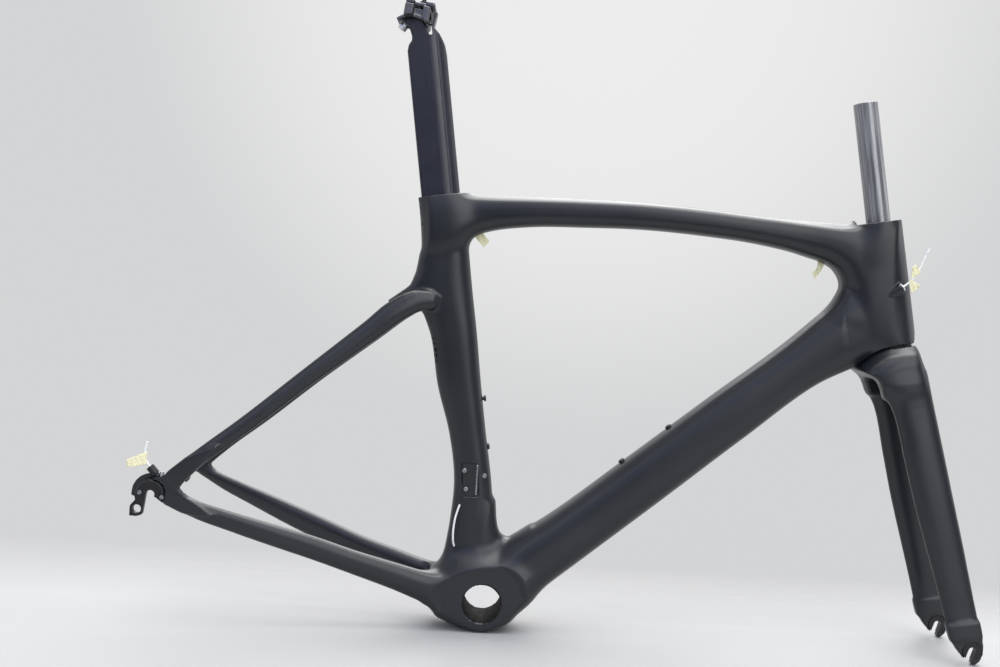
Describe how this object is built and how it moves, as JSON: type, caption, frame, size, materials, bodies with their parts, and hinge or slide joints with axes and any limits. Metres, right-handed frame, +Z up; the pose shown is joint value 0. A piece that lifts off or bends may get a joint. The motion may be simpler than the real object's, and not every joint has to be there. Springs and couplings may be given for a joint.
{
  "type": "bicycle frame",
  "caption": "Aero road bicycle frame with fork, steerer, bladed seatpost and saddle clamp, bare and ready to build up.",
  "frame": {"origin": "centre of the bottom bracket bore", "axes": "+X forward, +Y to the rider's left along the bottom bracket, +Z up with the axles level"},
  "size_m": [1.0337, 0.146, 0.7366],
  "materials": {
    "carbon": "matte lacquered carbon fibre",
    "steerer_carbon": "bare glossy carbon fibre",
    "post_carbon": "satin carbon fibre",
    "black_alloy": "black anodised",
    "bolt_steel": "black oxide",
    "silver_alloy": "brushed",
    "guide_plastic": "moulded",
    "liner_plastic": "natural nylon",
    "masking_tape": "crepe paper tape"
  },
  "bodies": {
    "frame": {"head_tube": "carbon", "down_tube": "carbon", "seat_tube": "carbon", "top_tube": "carbon", "bottom_bracket_shell": "carbon", "bb_cable_guide": "guide_plastic", "bb_guide_screw": "bolt_steel", "right_chain_stay": "carbon", "left_chain_stay": "carbon", "right_seat_stay": "carbon", "left_seat_stay": "carbon", "right_rear_dropout": "carbon", "left_rear_dropout": "carbon", "derailleur_hanger": "black_alloy", "hanger_bolts": "bolt_steel", "rear_cable_stop": "black_alloy", "rear_cable_ferrule": "silver_alloy", "seat_tube_bottle_bolts": "bolt_steel", "down_tube_bottle_bolts": "bolt_steel", "front_derailleur_mount": "black_alloy", "derailleur_mount_bolts": "bolt_steel", "seatpost_clamp_wedge": "black_alloy", "seatpost_clamp_bolt": "bolt_steel", "head_cable_port": "carbon", "cable_port_stop": "liner_plastic", "head_cable_liner": "liner_plastic", "bb_cable_liner": "liner_plastic", "rear_cable_liner": "liner_plastic", "head_tape_tab": "masking_tape", "rear_tape_tab": "masking_tape", "top_tube_tape_tabs": "masking_tape", "upper_bearing": "bolt_steel", "lower_bearing": "bolt_steel"},
    "fork": {"fork_crown": "carbon", "right_fork_blade": "carbon", "left_fork_blade": "carbon", "right_fork_dropout": "black_alloy", "left_fork_dropout": "black_alloy", "steerer_tube": "steerer_carbon", "compression_ring": "black_alloy", "crown_race": "bolt_steel"},
    "seatpost": {"seatpost": "post_carbon"},
    "saddle_clamp": {"saddle_cradle": "black_alloy", "saddle_top_clamp": "black_alloy", "saddle_centre_bolt": "bolt_steel", "saddle_front_nut": "silver_alloy", "saddle_rear_adjuster": "silver_alloy"}
  },
  "joints": [
    {"name": "steering", "type": "hinge", "parent": "frame", "child": "fork", "pos_m": [0.40622, 0, 0.47692], "axis": [-0.309, 0, 0.9511], "range_deg": [-75, 75]},
    {"name": "seatpost_height", "type": "slide", "parent": "frame", "child": "seatpost", "axis": [-0.2823, 0, 0.9593], "range_m": [-0.065, 0.06]},
    {"name": "saddle_tilt", "type": "hinge", "parent": "seatpost", "child": "saddle_clamp", "pos_m": [-0.21478, 0, 0.65139], "axis": [0, 1, 0], "range_deg": [-8, 8]}
  ]
}
